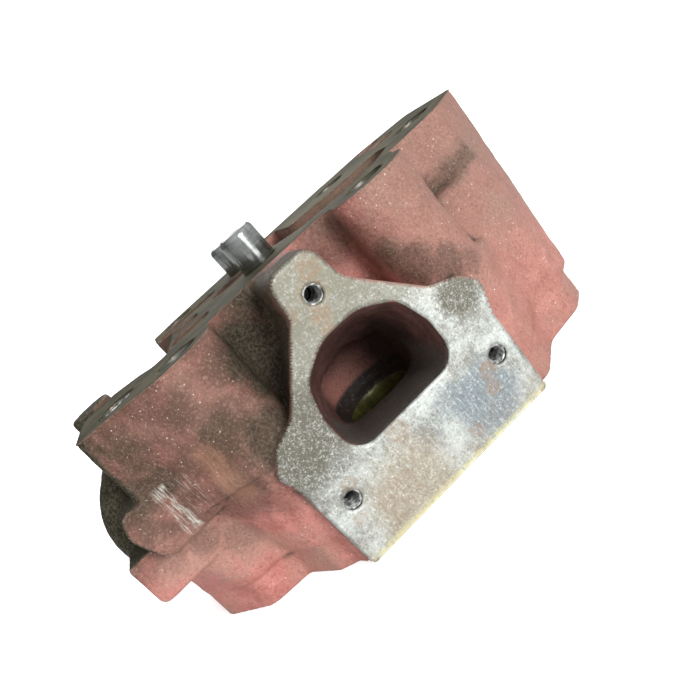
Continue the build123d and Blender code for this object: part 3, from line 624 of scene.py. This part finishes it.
def casting_skin():
    """The painted casting: rounded cast edges, crisp milled faces, wavy sand-cast walls."""
    mesh = voxel_copy("head_casting", VOXEL)
    skin = Skin(mesh)
    normals = skin.normals()
    planes = machined_planes(skin.points, normals)
    milled = np.logical_or.reduce(list(planes.values()))
    bored = drilled_walls(skin.points, normals)
    fixed = milled | bored
    freedom = 1.0 - fixed
    skin.relax(int(2.2 * MM / VOXEL) * 6, freedom)
    for name, mask in planes.items():
        axis, level, _ = MILLED[name]
        snap_outline(skin, mask, axis, level)
    normals = skin.normals()
    wave = lattice_noise(skin.points, 9 * MM, 1) * 0.18 + lattice_noise(skin.points, 3.2 * MM, 2) * 0.12
    wave += lattice_noise(skin.points, 1.7 * MM, 3) * 0.08
    near_edge = skin.averaged(skin.averaged(freedom[:, None]))[:, 0]
    skin.points += normals * (wave * freedom * near_edge * MM)[:, None]
    smooth = skin.points.copy()
    for _ in range(int(5 * MM / VOXEL) ** 2):
        smooth += (skin.averaged(smooth) - smooth) * 0.8
    bulge = np.einsum("ij,ij->i", skin.points - smooth, skin.normals()) / (2.4 * MM)
    skin.store("hollow", np.clip(-bulge, 0, 1))
    skin.store("ridge", np.clip(bulge, 0, 1))
    return skin, planes, bored


def face_outline(axis, level):
    """Segments (start, end, ...) round the CAD faces that lie in one milled plane."""
    mesh = frame["nodes"]["head_casting"].data
    points = np.zeros(len(mesh.vertices) * 3, np.float32)
    mesh.vertices.foreach_get("co", points)
    points = points.reshape(-1, 3).astype(float)
    flat = np.abs(points[:, axis] - level) < 0.01 * MM
    sides = {}
    for face in mesh.polygons:
        corners = face.vertices
        if not all(flat[corner] for corner in corners):
            continue
        keys = [tuple(np.round(points[corner] / (0.01 * MM)).astype(int)) for corner in corners]
        for start, end in zip(keys, keys[1:] + keys[:1]):
            side = frozenset((start, end))
            if side in sides:
                del sides[side]
            else:
                sides[side] = (start, end)
    return np.array(list(sides.values()), float) * 0.01 * MM


def snap_outline(skin, mask, axis, level):
    """Moves the rim of a milled face onto the exact outline of the CAD face."""
    rim = np.flatnonzero(mask & (skin.averaged(mask.astype(float)[:, None])[:, 0] < 0.999))
    sides = face_outline(axis, level)
    start, run = sides[:, 0], sides[:, 1] - sides[:, 0]
    length = np.maximum(np.einsum("ij,ij->i", run, run), 1e-12)
    for index in rim:
        offset = skin.points[index] - start
        part = np.clip(np.einsum("ij,ij->i", offset, run) / length, 0, 1)
        nearest = start + run * part[:, None]
        gap = np.linalg.norm(nearest - skin.points[index], axis=1)
        best = gap.argmin()
        if gap[best] < 1.6 * VOXEL:
            skin.points[index] = nearest[best]


def hole_rims(points):
    """True round the mouths of the upright bores and of the guides in the deck."""
    rims = np.zeros(len(points), bool)
    low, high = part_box("exhaust_valve_guide")
    for name, mount in mounts.items():
        if mount["kind"] in ("bore", "threaded_hole") and abs(mount["axis"][2]) > UPRIGHT:
            wide = (high.x - low.x) / 2 if "stem" in name else radius(name)
            reach = np.hypot(points[:, 0] - place(name).x, points[:, 1] - place(name).y)
            rims |= (reach < wide + 1.3 * MM) & (points[:, 2] > DECK_Z - 26 * MM)
    return rims


def inside_ports(points):
    """True on the walls of the two gas ports, down to the valve throats."""
    x, y, z = points.T / MM
    arch = 83 - 0.016 * (x - FLANGE.x / MM) ** 2
    duct = (np.abs(x - FLANGE.x / MM) < 31) & (z > 25) & (z < arch) & (y > FLANGE.y / MM + 0.4) & (y < -5)
    sill = np.where(y > 48, 37, 25)
    rear = (np.abs(x) < 24) & (z > sill) & (z < 80 - 0.01 * x ** 2) & (y < INTAKE.y / MM - 0.4) & (y > 5)
    bowls = (np.hypot(x, np.abs(y) - VALVE_Y / MM) < 22.5) & (z > 1) & (z < 55)
    return duct | rear | bowls


def inside_throats(points):
    """True on the turned throats just above the seat inserts."""
    x, y, z = points.T / MM
    reach = np.hypot(x, np.abs(y) - VALVE_Y / MM)
    return (np.abs(reach - 17) < 1.2) & (z > 14) & (z < 25.6)


def build_casting():
    skin, planes, bored = casting_skin()
    mesh = skin.mesh
    skin.normals()
    piece = bpy.data.objects.new("painted_casting", mesh)
    bpy.context.scene.collection.objects.link(piece)
    paints = [red_oxide_paint(), milled_iron(), oily_deck(), port_skin(), bored_iron(), throat_iron()]
    mesh.materials.clear()
    for material in paints:
        mesh.materials.append(material)
    which = np.full(skin.count, PAINT, np.int32)
    which[inside_ports(skin.points)] = PORT_WALL
    which[inside_throats(skin.points)] = THROAT
    which[bored | hole_rims(skin.points)] = BORED
    which[planes["deck"]] = OILY_DECK
    for centre, out in tapped_holes():
        reach = np.hypot(skin.points[:, 0] - centre.x, skin.points[:, 2] - centre.z)
        depth = (centre.y - skin.points[:, 1]) * out
        which[(reach < BOLT_R + 0.9 * MM) & (depth > -1 * MM) & (depth < BOLT_HOLE_DEPTH)] = BORED
    which[planes["flange"] | planes["intake"]] = MILLED_FACE
    which[planes["fire"]] = BORED
    corners = np.zeros(len(mesh.loops), np.int32)
    mesh.loops.foreach_get("vertex_index", corners)
    starts = np.zeros(len(mesh.polygons), np.int32)
    mesh.polygons.foreach_get("loop_start", starts)
    sizes = np.zeros(len(mesh.polygons), np.int32)
    mesh.polygons.foreach_get("loop_total", sizes)
    by_face = which[corners[starts]]
    for step in range(1, sizes.min()):
        by_face = np.minimum(by_face, which[corners[starts + step]])
    mesh.polygons.foreach_set("material_index", by_face)
    mesh.polygons.foreach_set("use_smooth", np.ones(len(mesh.polygons), bool))
    mesh.update()
    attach(piece, "root")
    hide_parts("head_casting")
    return piece


# ---------------------------------------------------------------- turned and threaded details
def new_piece(name, points, faces, material):
    mesh = bpy.data.meshes.new(name)
    mesh.from_pydata(points, [], faces)
    mesh.polygons.foreach_set("use_smooth", [True] * len(mesh.polygons))
    mesh.materials.append(material)
    piece = bpy.data.objects.new(name, mesh)
    bpy.context.scene.collection.objects.link(piece)
    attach(piece, "root")
    return piece


def turned(name, centre, profile, material, around=96):
    """Closed ring swept from (radius, z) points in millimetres, listed anticlockwise."""
    points = []
    for step in range(around):
        turn = 2 * math.pi * step / around
        for reach, z in profile:
            x = centre.x + math.cos(turn) * reach * MM
            points.append((x, centre.y + math.sin(turn) * reach * MM, z * MM))
    rows = len(profile)
    faces = []
    for step in range(around):
        ahead = (step + 1) % around
        for row in range(rows):
            above = (row + 1) % rows
            faces.append((step * rows + row, ahead * rows + row, ahead * rows + above, step * rows + above))
    return new_piece(name, points, faces, material)


def thread(name, mouth, out, root_r, pitch, depth, material, axis="y"):
    """Helical crest of a tapped hole, standing inwards from its wall; runs in from the mouth."""
    around = 40
    crest_r = root_r - 0.6 * pitch
    bite = 0.1 * MM
    turns = depth / pitch
    steps = int(turns * around)
    shape = ((root_r + bite, -0.46), (root_r + bite, 0.46), (crest_r, 0.08), (crest_r, -0.08))
    points = []
    for step in range(steps + 1):
        turn = 2 * math.pi * step / around
        travel = pitch * (0.6 + step / around)
        for reach, offset in shape:
            inward = travel + offset * pitch
            across = (math.cos(turn) * reach, math.sin(turn) * reach)
            if axis == "y":
                points.append((mouth.x + across[0], mouth.y - out * inward, mouth.z + across[1]))
            else:
                points.append((mouth.x + across[0], mouth.y + across[1], mouth.z - inward))
    faces = [(3, 2, 1, 0)]
    for step in range(steps):
        for side in range(4):
            ahead = (side + 1) % 4
            faces.append((step * 4 + side, step * 4 + ahead, step * 4 + 4 + ahead, step * 4 + 4 + side))
    last = steps * 4
    faces.append((last, last + 1, last + 2, last + 3))
    return new_piece(name, points, faces, material)


def thread_metal():
    """Thread crests: painted lighter than the hole they stand in, as a highlight; greasy in places."""
    g = Graph("thread_metal")
    grease = g.noise(2.0, 3, 0.6, seed=1.0)
    # Light grey on the crests: painted highlight; dark where greasy.
    metal = g.mix(g.step(grease, 0.42, 0.60), (0.14, 0.145, 0.13), (0.62, 0.63, 0.62))
    g.bump([(g.noise(0.4, 2, seed=2.0), 0.2, 0.05)])
    return g.finish(metal, 0.35, 0.35)


def build_threads(material):
    names = ("top", "left", "right", "intake_left", "intake_right")
    for name, (mouth, out) in zip(names, tapped_holes()):
        thread(name + "_bolt_thread", mouth, out, BOLT_R, BOLT_PITCH, BOLT_THREAD_DEPTH, material)
    lifting = place("lifting_thread")
    mouth = Vector((lifting.x, lifting.y, DECK_Z))
    root_r = radius("lifting_thread")
    thread("lifting_eye_thread", mouth, 1, root_r, LIFTING_PITCH, LIFTING_THREAD_DEPTH, material, "z")


def build_guides(material):
    """The two guides with a worn, rounded tip, finer than the CAD facets."""
    for name in ("exhaust_valve_guide", "intake_valve_guide"):
        low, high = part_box(name)
        centre = (low + high) / 2
        outer = (high.x - low.x) / 2 / MM
        bore = radius("exhaust_stem_bore") / MM
        foot = low.z / MM
        top = high.z / MM
        shoulder = [(outer - 2.3 + 2.3 * math.cos(a), top - 2.8 + 2.8 * math.sin(a))
                    for a in (0.0, 0.2, 0.45, 0.7, 0.95, 1.2, 1.4, math.pi / 2)]
        profile = [(bore, foot + 1.0), (bore + 0.8, foot), (outer - 1.5, foot), (outer, foot + 1.5)]
        profile += shoulder + [(bore + 1.0, top), (bore, top - 1.0)]
        piece = turned(name + "_turned", centre, profile, material)
        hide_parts(name)


# ---------------------------------------------------------------- CAD nodes kept, with their own finish
def dress_nodes():
    finishes = {
        "seat_steel": seat_metal(),
        "sleeve_copper": soft_copper(),
        "washer_copper": soft_copper(),
        "ring_rubber": black_rubber(),
        "plug_steel": plug_metal(),
        "tube_steel": bored_iron(),
    }
    for row in frame["record"]["subparts"]:
        node = frame["nodes"][row["node"]]
        if row["material_slot"] in finishes:
            node.data.materials.clear()
            node.data.materials.append(finishes[row["material_slot"]])


# ---------------------------------------------------------------- floor, light, camera
def build_floor():
    """Very large pale sheet that fades into the white background away from the head."""
    size = 8.0
    level = cad_low.z - 0.05 * MM
    mesh = bpy.data.meshes.new("floor")
    corners = [(-size, -size, level), (size, -size, level), (size, size, level), (-size, size, level)]
    mesh.from_pydata(corners, [], [(0, 1, 2, 3)])
    floor = bpy.data.objects.new("floor", mesh)
    bpy.context.scene.collection.objects.link(floor)
    g = Graph("floor_paper")
    cloud = g.noise(60, 2, 0.5)
    distance = g.add("ShaderNodeVectorMath", operation="LENGTH")
    g.feed(distance.inputs[0], g.where)
    fade = g.step(distance.outputs["Value"], 0.10, 0.55)
    camera_ray = g.add("ShaderNodeLightPath").outputs["Is Camera Ray"]
    glow = g.math("MULTIPLY", camera_ray, g.math("MULTIPLY_ADD", fade, 0.45, 0.55))
    g.feed(g.surface.inputs["Emission Color"], (1.0, 1.0, 1.0, 1.0))
    g.feed(g.surface.inputs["Emission Strength"], glow)
    mesh.materials.append(g.finish(g.mix(cloud, (0.80, 0.80, 0.795), (0.84, 0.84, 0.835)), 0.9, 0.0, 0.1))


def area_light(name, spot, target, size, power, glossy=True):
    data = bpy.data.lights.new(name, "AREA")
    data.shape = "DISK"
    data.size = size
    data.energy = power
    light = bpy.data.objects.new(name, data)
    bpy.context.scene.collection.objects.link(light)
    light.visible_glossy = glossy
    light.location = spot
    light.rotation_euler = (Vector(target) - Vector(spot)).to_track_quat("-Z", "Y").to_euler()


def build_world():
    """White background; as a light it is a soft room, brighter from above and the right."""
    world = bpy.data.worlds.new("studio")
    bpy.context.scene.world = world
    world.use_nodes = True
    tree = world.node_tree
    back = tree.nodes["Background"]
    path = tree.nodes.new("ShaderNodeLightPath")
    direction = tree.nodes.new("ShaderNodeTexCoord")
    lean = tree.nodes.new("ShaderNodeVectorMath")
    lean.operation = "DOT_PRODUCT"
    lean.inputs[1].default_value = Vector((0.45, -0.7, 0.5)).normalized()
    tree.links.new(direction.outputs["Generated"], lean.inputs[0])
    room = tree.nodes.new("ShaderNodeMapRange")
    room.interpolation_type = "SMOOTHSTEP"
    room.inputs["From Min"].default_value = -0.7
    room.inputs["From Max"].default_value = 0.9
    room.inputs["To Min"].default_value = 0.22
    room.inputs["To Max"].default_value = 0.95
    tree.links.new(lean.outputs["Value"], room.inputs["Value"])
    choose = tree.nodes.new("ShaderNodeMix")
    choose.data_type = "FLOAT"
    choose.inputs[3].default_value = 1.0
    tree.links.new(path.outputs["Is Camera Ray"], choose.inputs[0])
    tree.links.new(room.outputs["Result"], choose.inputs[2])
    tree.links.new(choose.outputs[0], back.inputs["Strength"])
    back.inputs["Color"].default_value = (1.0, 1.0, 1.0, 1.0)


def build_camera():
    """Camera in front of the exhaust flange, a little left and above, rolled with the picture."""
    spot = Vector((-48.7, -373.3, 142.6)) * MM
    pitch = math.radians(14.48)
    yaw = math.radians(8.68)
    roll = math.radians(41.81)
    level = Vector((math.sin(yaw), math.cos(yaw), 0))
    forward = level * math.cos(pitch) - Vector((0, 0, math.sin(pitch)))
    right = Vector((math.cos(yaw), -math.sin(yaw), 0))
    up = right.cross(forward)
    top = up * math.cos(roll) + right * math.sin(roll)
    side = right * math.cos(roll) - up * math.sin(roll)
    data = bpy.data.cameras.new("camera")
    data.sensor_width = 36
    data.lens = 39.23
    data.clip_start = 0.01
    camera = bpy.data.objects.new("camera", data)
    bpy.context.scene.collection.objects.link(camera)
    basis = camera.matrix_world.to_3x3()
    basis.col[0], basis.col[1], basis.col[2] = side, top, -forward
    camera.matrix_world = basis.to_4x4()
    camera.location = spot
    bpy.context.scene.camera = camera


bpy.context.scene.view_settings.view_transform = "Standard"
build_casting()
build_guides(polished_steel())
build_threads(thread_metal())
dress_nodes()
build_floor()
build_world()
area_light("key", (0.30, -1.05, 0.30), (0, -0.05, 0.05), 0.35, 9)
area_light("fill", (-0.7, -0.7, 0.10), (0, -0.05, 0.04), 0.5, 1.5, False)
area_light("back", (0.2, 0.9, 0.8), (0, 0, 0.05), 0.8, 6)
build_camera()
